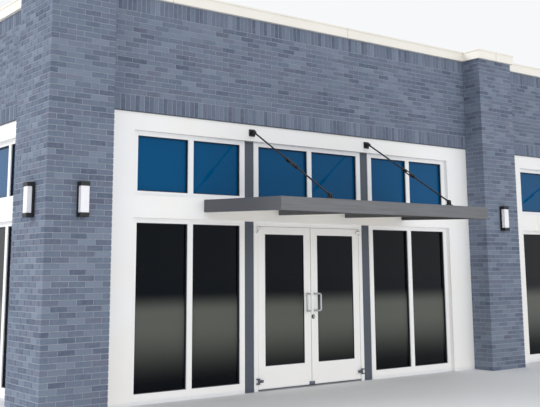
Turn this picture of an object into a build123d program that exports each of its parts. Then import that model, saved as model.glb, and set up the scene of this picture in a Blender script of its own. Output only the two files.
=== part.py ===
"""A single-storey brick clinic, two bays to a side, with its entrance in the left bay of the front.

Square brick piers stand proud of the walls, white surrounds fill the bays between them, and each surround
holds a row of transom lights over tall windows. Steel canopies hang from tie rods over the two front bays,
and a pair of glazed doors under the left one swings outwards.

Millimetres. The origin is the middle of the footprint at ground level, +Y runs from the front to the rear.
"""

from build123d import *
from collections import namedtuple
from math import atan2, cos, sin
import os

# Brickwork

front_bay_width = 6660
side_bay_width = 6180
front_pier_width = 820
side_pier_width = 930
pilaster_width = 820
pier_projection = 340
wall_thickness = 300
brick_top = 4990
lintel_thickness = 10
lintel_inset = 3

# Coping, roof and floor

coping_body = 130
coping_lip = 22
coping_overhang = 38
coping_lip_reach = 12
parapet_height = 590
roof_thickness = 250
floor_thickness = 20

# White surrounds and the posts behind them

surround_top = 3510
surround_recess = 20
head_bottom = 3290
mid_panel_top = 2485
mid_panel_bottom = 2210
mid_panel_thickness = 70
post_width = 152
post_depth = 152

# Glazed units

unit_width = 1714
frame_recess = 80
frame_depth = 114
frame_stile = 80
frame_rail = 58
frame_joint = 0.2
window_sill_height = 125
glass_thickness = 25

# Entrance doors

door_jamb_face = 64
leaf_width = 914
leaf_thickness = 45
leaf_setback = 3
leaf_gap = 5
meeting_gap = 10
leaf_stile = 118
leaf_top_rail = 100
leaf_bottom_rail = 290
leaf_floor_gap = 6
stop_width = 13
threshold_slope = 6

# Door pivots, pulls and lock

pivot_offset = 19
pivot_pin_radius = 7
pivot_knuckle_radius = 13
pivot_clearance = 0.4
pivot_arm_height = 34
pivot_arm_length = 60
pivot_foot_height = 16
pivot_foot_length = 32
pivot_gap = 5
pivot_above_foot = 90
pivot_below_top = 70
pull_height = 1127
pull_length = 229
pull_standoff = 70
pull_offset = 60
pull_radius = 12.7
pull_bend = 20
pull_rose_radius = 18
pull_rose_thickness = 6
lock_height = 930
lock_backset = 32
lock_rose_radius = 30
lock_rose_thickness = 8
lock_cylinder_radius = 19
lock_cylinder_length = 12

# Canopies

canopy_width = 3660
canopy_projection = 1600
canopy_wall_bottom = 2305
canopy_fall = 55
canopy_spans = 3
channel_depth = 160
channel_flange = 53
channel_web = 8
channel_flange_thickness = 10
ledger_leg = 60
beam_plate_thickness = 8
deck_depth = 38
deck_pitch = 152
deck_trough = 44
deck_splay = 14
deck_thickness = 4
deck_tuck = 33
deck_clearance = 3

# Small round parts are many-sided, so that they stay light

round_sides = 12

# Tie rods

rod_spread = 2130
rod_plate_height = 3400
rod_radius = 11
wall_plate_size = 96
wall_plate_thickness = 14
wall_plate_corner = 12
ear_thickness = 10
ear_gap = 16
ear_radius = 24
ear_reach = 46
lug_foot_length = 96
lug_foot_width = 50
lug_foot_thickness = 10
lug_rise = 40
eye_thickness = 14
eye_radius = 22
eye_length = 62
rod_pin_radius = 8
rod_pin_clearance = 0.4
rod_pin_overhang = 6
turnbuckle_length = 240
turnbuckle_radius = 25
turnbuckle_nut = 40
turnbuckle_slot = 28
turnbuckle_share = 0.52

# Wall lights

sconce_width = 116
sconce_height = 396
sconce_middle = 2367
front_sconce_inset = 430
side_sconce_inset = 350
sconce_back_depth = 34
sconce_cap_depth = 96
sconce_cap_height = 48
sconce_lens_inset = 6

# Places worked out from the sizes above

width = 2 * front_pier_width + 2 * front_bay_width + pilaster_width
depth = 2 * side_pier_width + 2 * side_bay_width + pilaster_width
inner_x = width / 2 - pier_projection - wall_thickness
inner_y = depth / 2 - pier_projection - wall_thickness
roof_top = brick_top - parapet_height
spandrel_bottom = surround_top + lintel_thickness
frame_back = frame_recess + frame_depth
glass_recess = frame_recess + (frame_depth - glass_thickness) / 2
post_recess = surround_recess + mid_panel_thickness
door_opening = 2 * leaf_width + 2 * leaf_gap + meeting_gap
door_unit_width = door_opening + 2 * door_jamb_face
door_head_bottom = mid_panel_bottom - frame_rail

# One drawing plane for each wall: x to the right as seen from outside, y up, z outwards from the brick face

front = Plane((0, -depth / 2 + pier_projection, 0), x_dir=(1, 0, 0), z_dir=(0, -1, 0))
right = Plane((width / 2 - pier_projection, 0, 0), x_dir=(0, 1, 0), z_dir=(1, 0, 0))
rear = Plane((0, depth / 2 - pier_projection, 0), x_dir=(-1, 0, 0), z_dir=(0, 1, 0))
left = Plane((-width / 2 + pier_projection, 0, 0), x_dir=(0, -1, 0), z_dir=(-1, 0, 0))
walls = {"front": front, "right": right, "rear": rear, "left": left}

# Each bay with its middle and width along its wall, and the width of the unit between its two posts

Bay = namedtuple("Bay", "wall middle width centre_unit has_door")


def bays_along(wall, bay_width):
    middle = (pilaster_width + bay_width) / 2
    return [Bay(wall, side * middle, bay_width, unit_width, False) for side in (-1, 1)]


entrance = Bay(front, -(pilaster_width + front_bay_width) / 2, front_bay_width, door_unit_width, True)
front_bays = [entrance, bays_along(front, front_bay_width)[1]]
other_bays = (
    bays_along(right, side_bay_width)
    + bays_along(rear, front_bay_width)
    + bays_along(left, side_bay_width)
)


def glazing_width(bay):
    return bay.centre_unit + 2 * post_width + 2 * unit_width


def jamb_width(bay):
    return (bay.width - glazing_width(bay)) / 2


def post_middles(bay):
    offset = (bay.centre_unit + post_width) / 2
    return (bay.middle - offset, bay.middle + offset)


def window_units(bay):
    """Lists the middle, width, bottom, top and sill height of every two-light window of a bay."""
    side_offset = bay.centre_unit / 2 + post_width + unit_width / 2
    units = []
    for offset, wide in ((-side_offset, unit_width), (0, bay.centre_unit), (side_offset, unit_width)):
        middle = bay.middle + offset
        units.append((middle, wide, mid_panel_top, head_bottom, frame_rail))
        if offset or not bay.has_door:
            units.append((middle, wide, 0, mid_panel_bottom, window_sill_height))
    return units


os.makedirs("parts", exist_ok=True)


def keep(builder, name):
    """Labels a finished piece and writes it to its own file."""
    builder.part.label = name
    export_step(builder.part, f"parts/{name}.step")


def upright_slab(wall, middle, bottom, top, wide, face, thickness, mode=Mode.ADD):
    """Adds a slab whose outer face lies face behind the wall's brick face, and which runs inwards."""
    with BuildSketch(wall.offset(-face)) as slab:
        with Locations((middle, (bottom + top) / 2)):
            Rectangle(wide, top - bottom)
    extrude(slab.sketch, amount=-thickness, mode=mode)


# Brick piers at the four corners

corners = {
    "front_left": (-1, -1),
    "front_right": (1, -1),
    "rear_left": (-1, 1),
    "rear_right": (1, 1),
}
pier_x = (width - front_pier_width) / 2
pier_y = (depth - side_pier_width) / 2

for corner, (side_x, side_y) in corners.items():
    with BuildPart() as pier:
        with BuildSketch():
            with Locations((side_x * pier_x, side_y * pier_y)):
                Rectangle(front_pier_width, side_pier_width)
        extrude(amount=brick_top)
    keep(pier, f"{corner}_corner_pier")

# Pilasters in the middle of each wall, and the brick over the bays

with BuildPart() as pilasters:
    for wall in walls.values():
        pilaster_depth = pier_projection + wall_thickness
        upright_slab(wall, 0, 0, brick_top, pilaster_width, -pier_projection, pilaster_depth)
keep(pilasters, "pilasters")


def spandrels(name, bays):
    with BuildPart() as brick:
        for bay in bays:
            upright_slab(
                bay.wall, bay.middle, spandrel_bottom, brick_top, bay.width, 0, wall_thickness
            )
    keep(brick, name)


spandrels("front_brick_spandrels", front_bays)
spandrels("side_and_rear_brick_spandrels", other_bays)

# Steel lintel plates that carry the brick over the bays

with BuildPart() as lintels:
    lintel_depth = wall_thickness - 2 * lintel_inset
    for bay in front_bays + other_bays:
        upright_slab(
            bay.wall,
            bay.middle,
            surround_top,
            spandrel_bottom,
            bay.width,
            lintel_inset,
            lintel_depth,
        )
keep(lintels, "steel_lintels")

# Coping along the top of each wall, mitred at the corners and stepping out round the piers


def coping_outline(wall_length, end_pier, end_depth, overhang):
    """Outlines one wall's coping on a plan whose x runs along the wall and whose y runs inwards."""
    pilaster_edge = pilaster_width / 2 + overhang
    pier_edge = wall_length / 2 - end_pier - overhang
    end = wall_length / 2 + overhang
    pier_face = -pier_projection - overhang
    wall_face = -overhang
    wall_back = wall_thickness + overhang
    pier_back = end_depth - pier_projection + overhang
    right_half = [
        (pilaster_edge, pier_face),
        (pilaster_edge, wall_face),
        (pier_edge, wall_face),
        (pier_edge, pier_face),
        (end, pier_face),
        (pier_edge, pier_back),
        (pier_edge, wall_back),
    ]
    left_half = [(-x, y) for x, y in reversed(right_half)]
    return right_half + left_half


for side, wall in walls.items():
    along_front = side in ("front", "rear")
    wall_length = width if along_front else depth
    end_pier = front_pier_width if along_front else side_pier_width
    end_depth = side_pier_width if along_front else front_pier_width
    layers = (
        (brick_top, coping_body, coping_overhang),
        (brick_top + coping_body, coping_lip, coping_overhang + coping_lip_reach),
    )
    with BuildPart() as coping:
        for level, thickness, overhang in layers:
            plan = Plane(wall.origin + Vector(0, 0, level), x_dir=wall.x_dir, z_dir=(0, 0, 1))
            with BuildSketch(plan):
                with BuildLine():
                    Polyline(*coping_outline(wall_length, end_pier, end_depth, overhang), close=True)
                make_face()
            extrude(amount=thickness)
    keep(coping, f"{side}_coping")


# Roof and floor between the walls, cut round the corner piers


def inner_plan():
    Rectangle(2 * inner_x, 2 * inner_y)
    with GridLocations(2 * pier_x, 2 * pier_y, 2, 2):
        Rectangle(front_pier_width, side_pier_width, mode=Mode.SUBTRACT)


with BuildPart() as roof:
    with BuildSketch(Plane.XY.offset(roof_top - roof_thickness)):
        inner_plan()
    extrude(amount=roof_thickness)
keep(roof, "roof_deck")

# The floor runs out under the glazing to the backs of the frames, and is cut round the posts
with BuildPart() as floor:
    with BuildSketch():
        inner_plan()
    extrude(amount=floor_thickness)
    for bay in front_bays + other_bays:
        tongue = wall_thickness - frame_back
        upright_slab(bay.wall, bay.middle, 0, floor_thickness, glazing_width(bay), frame_back, tongue)
    for bay in front_bays + other_bays:
        for post in post_middles(bay):
            upright_slab(
                bay.wall,
                post,
                0,
                floor_thickness,
                post_width,
                post_recess,
                post_depth,
                mode=Mode.SUBTRACT,
            )
keep(floor, "floor_slab")

# White surrounds: uprights beside the glazing, a head over it, and a panel between the two rows of lights


def surround(prefix, bays):
    surround_depth = wall_thickness - surround_recess
    with BuildPart() as jambs:
        for bay in bays:
            offset = (glazing_width(bay) + jamb_width(bay)) / 2
            for middle in (bay.middle - offset, bay.middle + offset):
                upright_slab(
                    bay.wall,
                    middle,
                    0,
                    head_bottom,
                    jamb_width(bay),
                    surround_recess,
                    surround_depth,
                )
    keep(jambs, f"{prefix}_surround_jambs")

    with BuildPart() as heads:
        for bay in bays:
            upright_slab(
                bay.wall,
                bay.middle,
                head_bottom,
                surround_top,
                bay.width,
                surround_recess,
                surround_depth,
            )
    keep(heads, f"{prefix}_surround_heads")

    with BuildPart() as panels:
        for bay in bays:
            upright_slab(
                bay.wall,
                bay.middle,
                mid_panel_bottom,
                mid_panel_top,
                glazing_width(bay),
                surround_recess,
                mid_panel_thickness,
            )
    keep(panels, f"{prefix}_surround_mid_panels")


surround("front", front_bays)
surround("side_and_rear", other_bays)

# Steel posts between the glazed units, standing behind the mid panels


def posts(name, bays):
    with BuildPart() as columns:
        for bay in bays:
            for middle in post_middles(bay):
                upright_slab(
                    bay.wall, middle, 0, head_bottom, post_width, post_recess, post_depth
                )
    keep(columns, name)


posts("front_posts", front_bays)
posts("side_and_rear_posts", other_bays)


# Glazed units: stiles that run from top to bottom, rails between them, and the panes


def light_size(wide, bottom, top, sill):
    """Gives the width and height of each of a unit's two lights."""
    return (wide - 3 * frame_stile) / 2, top - bottom - frame_rail - sill


def light_middles(middle, wide):
    offset = (wide - frame_stile) / 4
    return (middle - offset, middle + offset)


def glazing(prefix, bays):
    with BuildPart() as frames:
        for bay in bays:
            for middle, wide, bottom, top, sill in window_units(bay):
                light_width, _ = light_size(wide, bottom, top, sill)
                outer_stile = (wide - frame_stile) / 2
                with BuildSketch(bay.wall.offset(-frame_recess)):
                    stile_level = (bottom + top) / 2
                    with Locations(*[(middle + x, stile_level) for x in (-outer_stile, 0, outer_stile)]):
                        Rectangle(frame_stile, top - bottom)
                    for light in light_middles(middle, wide):
                        for rail_bottom, rail_top in ((bottom, bottom + sill), (top - frame_rail, top)):
                            with Locations((light, (rail_bottom + rail_top) / 2)):
                                Rectangle(light_width - 2 * frame_joint, rail_top - rail_bottom)
                extrude(amount=-frame_depth)
    keep(frames, f"{prefix}_window_frames")

    with BuildPart() as panes:
        for bay in bays:
            with BuildSketch(bay.wall.offset(-glass_recess)):
                for middle, wide, bottom, top, sill in window_units(bay):
                    pane_width, pane_height = light_size(wide, bottom, top, sill)
                    pane_level = bottom + sill + pane_height / 2
                    with Locations(*[(light, pane_level) for light in light_middles(middle, wide)]):
                        Rectangle(pane_width, pane_height)
            extrude(amount=-glass_thickness)
    keep(panes, f"{prefix}_window_glass")


glazing("front", front_bays)
glazing("side_and_rear", other_bays)

# The doorway: jambs and a head with a stop that the leaves close against, and a threshold

leaf_face = frame_recess + leaf_setback
stop_face = leaf_face + leaf_thickness + leaf_gap
stop_depth = frame_back - stop_face
leaf_bottom = floor_thickness + leaf_floor_gap
leaf_top = door_head_bottom - leaf_gap
leaf_height = leaf_top - leaf_bottom

with BuildPart() as door_jambs:
    for side in (-1, 1):
        jamb = entrance.middle + side * (door_opening + door_jamb_face) / 2
        stop = entrance.middle + side * (door_opening - stop_width) / 2
        upright_slab(
            front, jamb, 0, mid_panel_bottom, door_jamb_face, frame_recess, frame_depth
        )
        upright_slab(
            front, stop, floor_thickness, door_head_bottom, stop_width, stop_face, stop_depth
        )
keep(door_jambs, "door_jambs")

with BuildPart() as door_head:
    upright_slab(
        front,
        entrance.middle,
        door_head_bottom,
        mid_panel_bottom,
        door_opening,
        frame_recess,
        frame_depth,
    )
    upright_slab(
        front,
        entrance.middle,
        door_head_bottom - stop_width,
        door_head_bottom,
        door_opening - 2 * stop_width,
        stop_face,
        stop_depth,
    )
keep(door_head, "door_head")

threshold_end = front.origin + Vector(entrance.middle - door_opening / 2, 0, 0)
with BuildPart() as threshold:
    with BuildSketch(Plane(threshold_end, x_dir=(0, 1, 0), z_dir=(1, 0, 0))):
        with BuildLine():
            Polyline(
                (frame_recess, 0),
                (frame_back, 0),
                (frame_back, floor_thickness),
                (frame_recess + 2 * threshold_slope, floor_thickness),
                (frame_recess, floor_thickness - threshold_slope),
                close=True,
            )
        make_face()
    extrude(amount=door_opening)
keep(threshold, "door_threshold")

# Door leaves: a wide-stile frame with a pivot arm near the top and near the bottom of its hinge edge

pivot_depth = frame_recess - pivot_offset
pivot_y = front.origin.Y + pivot_depth
arm_levels = (leaf_bottom + pivot_above_foot, leaf_top - pivot_below_top)


def leaf_middle(side):
    return entrance.middle + side * (meeting_gap + leaf_width) / 2


def pivot_x(side):
    return entrance.middle + side * (meeting_gap + 2 * leaf_width + leaf_gap) / 2


def glass_span():
    """Gives the bottom and top of a leaf's glass."""
    return leaf_bottom + leaf_bottom_rail, leaf_top - leaf_top_rail


def door_leaf(name, side):
    glass_bottom, glass_top = glass_span()
    edge_x = pivot_x(side) - side * leaf_gap / 2
    arm_front = pivot_y - pivot_knuckle_radius
    arm_back = front.origin.Y + leaf_face
    with BuildPart() as leaf:
        with BuildSketch(front.offset(-leaf_face)):
            with Locations((leaf_middle(side), (leaf_bottom + leaf_top) / 2)):
                Rectangle(leaf_width, leaf_height)
            with Locations((leaf_middle(side), (glass_bottom + glass_top) / 2)):
                Rectangle(leaf_width - 2 * leaf_stile, glass_top - glass_bottom, mode=Mode.SUBTRACT)
        extrude(amount=-leaf_thickness)
        for level in arm_levels:
            with BuildSketch(Plane.XY.offset(level)):
                with Locations((pivot_x(side), pivot_y)):
                    RegularPolygon(pivot_knuckle_radius, round_sides)
                with Locations((edge_x - side * pivot_arm_length / 2, (arm_front + arm_back) / 2)):
                    Rectangle(pivot_arm_length, arm_back - arm_front)
                with Locations((pivot_x(side), pivot_y)):
                    RegularPolygon(pivot_pin_radius + pivot_clearance, round_sides, mode=Mode.SUBTRACT)
            extrude(amount=pivot_arm_height)
    keep(leaf, name)


def door_glass(name, side):
    glass_bottom, glass_top = glass_span()
    with BuildPart() as pane:
        upright_slab(
            front,
            leaf_middle(side),
            glass_bottom,
            glass_top,
            leaf_width - 2 * leaf_stile,
            leaf_face + (leaf_thickness - glass_thickness) / 2,
            glass_thickness,
        )
    keep(pane, name)


for name, side in (("left_door", -1), ("right_door", 1)):
    door_leaf(f"{name}_leaf", side)
    door_glass(f"{name}_glass", side)

# Fixed pivots on the jambs: a foot under and over each arm, joined by the pin that the arm turns on

with BuildPart() as pivots:
    for side in (-1, 1):
        jamb_edge = pivot_x(side) + side * leaf_gap / 2
        foot_front = pivot_y - pivot_knuckle_radius
        foot_back = front.origin.Y + frame_recess
        for level in arm_levels:
            lower_foot = level - pivot_gap - pivot_foot_height
            upper_foot = level + pivot_arm_height + pivot_gap
            for foot in (lower_foot, upper_foot):
                with BuildSketch(Plane.XY.offset(foot)):
                    with Locations((pivot_x(side), pivot_y)):
                        RegularPolygon(pivot_knuckle_radius, round_sides)
                    with Locations(
                        (jamb_edge + side * pivot_foot_length / 2, (foot_front + foot_back) / 2)
                    ):
                        Rectangle(pivot_foot_length, foot_back - foot_front)
                extrude(amount=pivot_foot_height)
            with BuildSketch(Plane.XY.offset(lower_foot)):
                with Locations((pivot_x(side), pivot_y)):
                    RegularPolygon(pivot_pin_radius, round_sides)
            extrude(amount=upper_foot - lower_foot)
keep(pivots, "door_pivots")

# A pull on the meeting stile of each leaf, bent from one bar so that its grip stands clear of the other leaf


def cut_corners(points, reach):
    """Swaps each inner point of a route for two, a reach before it and a reach after it."""
    route = [Vector(*point) for point in points]
    bends = []
    for before, corner, after in zip(route, route[1:], route[2:]):
        for neighbour in (before, after):
            bends.append(corner + (neighbour - corner).normalized() * reach)
    return [route[0], *bends, route[-1]]


def door_pull(name, side):
    foot_x = entrance.middle + side * (meeting_gap + leaf_stile) / 2
    grip_x = foot_x + side * pull_offset
    foot_y = front.origin.Y + leaf_face
    grip_y = foot_y - pull_standoff
    low = pull_height - pull_length / 2
    high = pull_height + pull_length / 2
    with BuildPart() as pull:
        with BuildLine() as route:
            turns = (
                (foot_x, foot_y, low),
                (foot_x, grip_y, low),
                (grip_x, grip_y, low),
                (grip_x, grip_y, high),
                (foot_x, grip_y, high),
                (foot_x, foot_y, high),
            )
            Polyline(*cut_corners(turns, pull_bend))
        with BuildSketch(Plane((foot_x, foot_y, low), x_dir=(1, 0, 0), z_dir=(0, -1, 0))):
            RegularPolygon(pull_radius, round_sides)
        sweep(path=route.wire(), transition=Transition.RIGHT)
        with BuildSketch(front.offset(-leaf_face)):
            with Locations((foot_x, low), (foot_x, high)):
                RegularPolygon(pull_rose_radius, round_sides)
        extrude(amount=pull_rose_thickness)
    keep(pull, name)


door_pull("left_door_pull", -1)
door_pull("right_door_pull", 1)

lock_x = entrance.middle + meeting_gap / 2 + lock_backset
with BuildPart() as lock:
    with BuildSketch(front.offset(-leaf_face)):
        with Locations((lock_x, lock_height)):
            RegularPolygon(lock_rose_radius, round_sides)
    extrude(amount=lock_rose_thickness)
    chamfer(lock.faces().sort_by(Axis.Y)[0].edges(), lock_rose_thickness / 3)
    with BuildSketch(front.offset(lock_rose_thickness - leaf_face)):
        with Locations((lock_x, lock_height)):
            RegularPolygon(lock_cylinder_radius, round_sides)
    extrude(amount=lock_cylinder_length)
keep(lock, "door_lock")

# Canopies: a frame of steel channels that falls to the front, with joists and a ribbed deck inside it

wall_face = front.origin.Y + surround_recess
canopy_face = wall_face - canopy_projection
canopy_front_bottom = canopy_wall_bottom - canopy_fall
slope = atan2(canopy_fall, canopy_projection)
joist_depth = channel_depth - channel_flange_thickness - deck_depth - deck_clearance
deck_margin = channel_flange - deck_tuck


def channel_outline(toe, channel_height):
    """Outlines a channel that stands at x = 0 on its lower flange, with its toes towards +x or -x."""
    return [
        (0, 0),
        (toe * channel_flange, 0),
        (toe * channel_flange, channel_flange_thickness),
        (toe * channel_web, channel_flange_thickness),
        (toe * channel_web, channel_height - channel_flange_thickness),
        (toe * channel_flange, channel_height - channel_flange_thickness),
        (toe * channel_flange, channel_height),
        (0, channel_height),
    ]


def ledger_outline():
    """Outlines an angle that hangs from the canopy's top on the wall, with its flange outwards."""
    return [
        (0, channel_depth - ledger_leg),
        (-channel_web, channel_depth - ledger_leg),
        (-channel_web, channel_depth - channel_flange_thickness),
        (-channel_flange, channel_depth - channel_flange_thickness),
        (-channel_flange, channel_depth),
        (0, channel_depth),
    ]


def cross_member(bay, face_y, bottom, outline):
    """Adds the section that runs along the wall or along the front of a canopy."""
    end = Vector(bay.middle - canopy_width / 2, face_y, bottom)
    with BuildSketch(Plane(end, x_dir=(0, 1, 0), z_dir=(1, 0, 0))) as section:
        with BuildLine():
            Polyline(*outline, close=True)
        make_face()
    extrude(section.sketch, amount=canopy_width)


def beams_across(bay):
    """Lists each beam's outer or left face, the way its toes point, and its depth."""
    beams = []
    for number in range(canopy_spans + 1):
        at_edge = number in (0, canopy_spans)
        toe = -1 if number == canopy_spans else 1
        x = bay.middle + canopy_width * (number / canopy_spans - 1 / 2)
        beams.append((x, toe, channel_depth if at_edge else joist_depth))
    return beams


# On the wall, an angle under the deck, and below it a plate that each beam's end bears on
with BuildPart() as ledgers:
    for bay in front_bays:
        cross_member(bay, wall_face, canopy_wall_bottom, ledger_outline())
        for x, toe, _ in beams_across(bay):
            upright_slab(
                front,
                x + toe * channel_flange / 2,
                canopy_wall_bottom,
                canopy_wall_bottom + channel_depth - ledger_leg,
                channel_flange,
                surround_recess - beam_plate_thickness,
                beam_plate_thickness,
            )
keep(ledgers, "canopy_ledgers")

with BuildPart() as fascias:
    for bay in front_bays:
        cross_member(bay, canopy_face, canopy_front_bottom, channel_outline(1, channel_depth))
keep(fascias, "canopy_fascias")


def down_fall(x, lift):
    """A plane at the wall whose z runs down the canopy's fall, lifted above the beams' undersides."""
    start = Vector(x, wall_face, canopy_wall_bottom + lift / cos(slope))
    return Plane(start, x_dir=(1, 0, 0), z_dir=(0, -cos(slope), -sin(slope)))


# Beams run from their wall plates to the fascia's web, coped round the flanges at both ends
with BuildPart() as beams:
    for bay in front_bays:
        for x, toe, beam_depth in beams_across(bay):
            with BuildSketch(down_fall(x, 0)):
                with BuildLine():
                    Polyline(*channel_outline(toe, beam_depth), close=True)
                make_face()
            extrude(amount=canopy_projection)
    split(bisect_by=Plane((0, wall_face - beam_plate_thickness, 0), z_dir=(0, -1, 0)))
    split(bisect_by=Plane((0, canopy_face + channel_web, 0), z_dir=(0, 1, 0)))
    add(ledgers.part, mode=Mode.SUBTRACT)
    add(fascias.part, mode=Mode.SUBTRACT)
keep(beams, "canopy_beams")

# Ribbed deck on the joists, its edges tucked under the flanges of the frame
deck_start = deck_margin / cos(slope)
deck_run = (canopy_projection - 2 * deck_margin) / cos(slope)
rib_count = int(deck_run // deck_pitch)
rib_margin = (deck_run - rib_count * deck_pitch) / 2
rib_height = deck_depth - deck_thickness


def deck_line():
    """Lists the points of the deck's underside, as distance down the fall and height above the joists."""
    points = [(0, 0)]
    for number in range(rib_count):
        rib = rib_margin + number * deck_pitch + deck_trough / 2
        crest = deck_pitch - deck_trough - 2 * deck_splay
        points += [
            (rib, 0),
            (rib + deck_splay, rib_height),
            (rib + deck_splay + crest, rib_height),
            (rib + 2 * deck_splay + crest, 0),
        ]
    return points + [(deck_run, 0)]


with BuildPart() as decks:
    for bay in front_bays:
        side_x = bay.middle + canopy_width / 2 - deck_margin
        joist_top = down_fall(side_x, joist_depth)
        deck_side = Plane(
            joist_top.origin + joist_top.z_dir * deck_start, x_dir=joist_top.z_dir, z_dir=(-1, 0, 0)
        )
        with BuildSketch(deck_side):
            with BuildLine():
                Polyline(*deck_line())
                offset(amount=deck_thickness, kind=Kind.INTERSECTION, side=Side.LEFT)
            make_face()
        extrude(amount=canopy_width - 2 * deck_margin)
keep(decks, "canopy_decks")

# Tie rods: an eye at each end, and a turnbuckle that joins the two lengths of rod

rod_top_y = wall_face - wall_plate_thickness - ear_reach
rod_top_z = rod_plate_height
flange_top = canopy_front_bottom + channel_depth
rod_foot_y = canopy_face + channel_flange / 2
rod_foot_z = flange_top + lug_foot_thickness + lug_rise
rod_run = Vector(0, rod_foot_y - rod_top_y, rod_foot_z - rod_top_z)
rod_length = rod_run.length
rod_places = [bay.middle + side * rod_spread / 2 for bay in front_bays for side in (-1, 1)]


def rod_side(x):
    """A plane across x at the upper pin, whose x runs down the rod."""
    return Plane((x, rod_top_y, rod_top_z), x_dir=rod_run, z_dir=(1, 0, 0))


def rod_section(x, distance):
    """A plane square to the rod, at a distance down it from the upper pin."""
    start = Vector(x, rod_top_y, rod_top_z) + rod_run.normalized() * distance
    return Plane(start, x_dir=(1, 0, 0), z_dir=rod_run)


turnbuckle_top = rod_length * turnbuckle_share - turnbuckle_length / 2
turnbuckle_foot = turnbuckle_top + turnbuckle_length
thread_end = turnbuckle_length / 3
with BuildPart() as rods:
    for x in rod_places:
        # eyes, then the two lengths of rod, then the turnbuckle with its slot cut round the rods' ends
        with BuildSketch(rod_side(x).offset(-eye_thickness / 2)):
            with Locations((0, 0), (rod_length, 0)):
                RegularPolygon(eye_radius, round_sides)
            with Locations((eye_length / 2, 0), (rod_length - eye_length / 2, 0)):
                Rectangle(eye_length, 2 * rod_radius)
            with Locations((0, 0), (rod_length, 0)):
                RegularPolygon(rod_pin_radius + rod_pin_clearance, round_sides, mode=Mode.SUBTRACT)
        extrude(amount=eye_thickness)
        with BuildSketch(rod_section(x, turnbuckle_top)):
            RegularPolygon(turnbuckle_radius, round_sides)
        extrude(amount=turnbuckle_length)
        slot_middle = (turnbuckle_top + turnbuckle_foot) / 2
        with BuildSketch(rod_side(x).offset(-turnbuckle_radius)):
            with Locations((slot_middle, 0)):
                Rectangle(turnbuckle_length - 2 * turnbuckle_nut, turnbuckle_slot)
        extrude(amount=2 * turnbuckle_radius, mode=Mode.SUBTRACT)
        shank_start = ear_radius + rod_pin_overhang
        rod_spans = (
            (shank_start, turnbuckle_top + thread_end),
            (turnbuckle_foot - thread_end, rod_length - shank_start),
        )
        for start, end in rod_spans:
            with BuildSketch(rod_section(x, start)):
                RegularPolygon(rod_radius, round_sides)
            extrude(amount=end - start)
keep(rods, "tie_rods")


def ears_and_pin(x, y, z, foot_y, foot_z):
    """Adds two ears that stand from a foot to a pin, and the pin that joins them through the rod's eye."""
    half_gap = ear_gap / 2
    foot = Vector(0, foot_y - y, foot_z - z)
    for start in (half_gap, -half_gap - ear_thickness):
        with BuildSketch(Plane((x + start, y, z), x_dir=foot, z_dir=(1, 0, 0))) as ear:
            RegularPolygon(ear_radius, round_sides)
            with Locations((foot.length / 2, 0)):
                Rectangle(foot.length, 2 * ear_radius)
        extrude(ear.sketch, amount=ear_thickness)
    pin_length = ear_gap + 2 * ear_thickness + 2 * rod_pin_overhang
    with BuildSketch(Plane((x - pin_length / 2, y, z), x_dir=(0, 1, 0), z_dir=(1, 0, 0))) as pin:
        RegularPolygon(rod_pin_radius, round_sides)
    extrude(pin.sketch, amount=pin_length)


with BuildPart() as brackets:
    for x in rod_places:
        with BuildSketch(Plane((x, wall_face, rod_top_z), x_dir=(1, 0, 0), z_dir=(0, -1, 0))):
            RectangleRounded(wall_plate_size, wall_plate_size, wall_plate_corner)
        extrude(amount=wall_plate_thickness)
        ears_and_pin(x, rod_top_y, rod_top_z, wall_face - wall_plate_thickness, rod_top_z)
        with BuildSketch(Plane.XY.offset(flange_top)):
            with Locations((x, rod_foot_y)):
                Rectangle(lug_foot_length, lug_foot_width)
        extrude(amount=lug_foot_thickness)
        ears_and_pin(x, rod_foot_y, rod_foot_z, rod_foot_y, flange_top + lug_foot_thickness)
keep(brackets, "tie_rod_brackets")

# Wall lights on every pier and pilaster: a box with a deep cap at each end, and a lens between the caps


def sconce_places():
    """Lists the plane of each pier's face and the middle of the light on it."""
    places = []
    for side, wall in walls.items():
        along_front = side in ("front", "rear")
        corner_middle = width / 2 - front_sconce_inset if along_front else depth / 2 - side_sconce_inset
        for middle in (-corner_middle, 0, corner_middle):
            places.append((wall.offset(pier_projection), middle))
    return places


with BuildPart() as sconce_bodies:
    for face, middle in sconce_places():
        with BuildSketch(face):
            with Locations((middle, sconce_middle)):
                Rectangle(sconce_width, sconce_height)
        extrude(amount=sconce_back_depth)
        cap_offset = (sconce_height - sconce_cap_height) / 2
        with BuildSketch(face.offset(sconce_back_depth)):
            with Locations((middle, sconce_middle - cap_offset), (middle, sconce_middle + cap_offset)):
                Rectangle(sconce_width, sconce_cap_height)
        extrude(amount=sconce_cap_depth - sconce_back_depth)
keep(sconce_bodies, "sconce_bodies")

with BuildPart() as sconce_lenses:
    lens_height = sconce_height - 2 * sconce_cap_height
    lens_depth = sconce_cap_depth - sconce_lens_inset - sconce_back_depth
    for face, middle in sconce_places():
        with BuildSketch(face.offset(sconce_back_depth)):
            with Locations((middle, sconce_middle)):
                Rectangle(sconce_width - 2 * sconce_lens_inset, lens_height)
        extrude(amount=lens_depth)
keep(sconce_lenses, "sconce_lenses")
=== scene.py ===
"""Dresses a brick clinic with its bricks, glazing, doors, canopies and wall lights, and sets the studio."""

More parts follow.
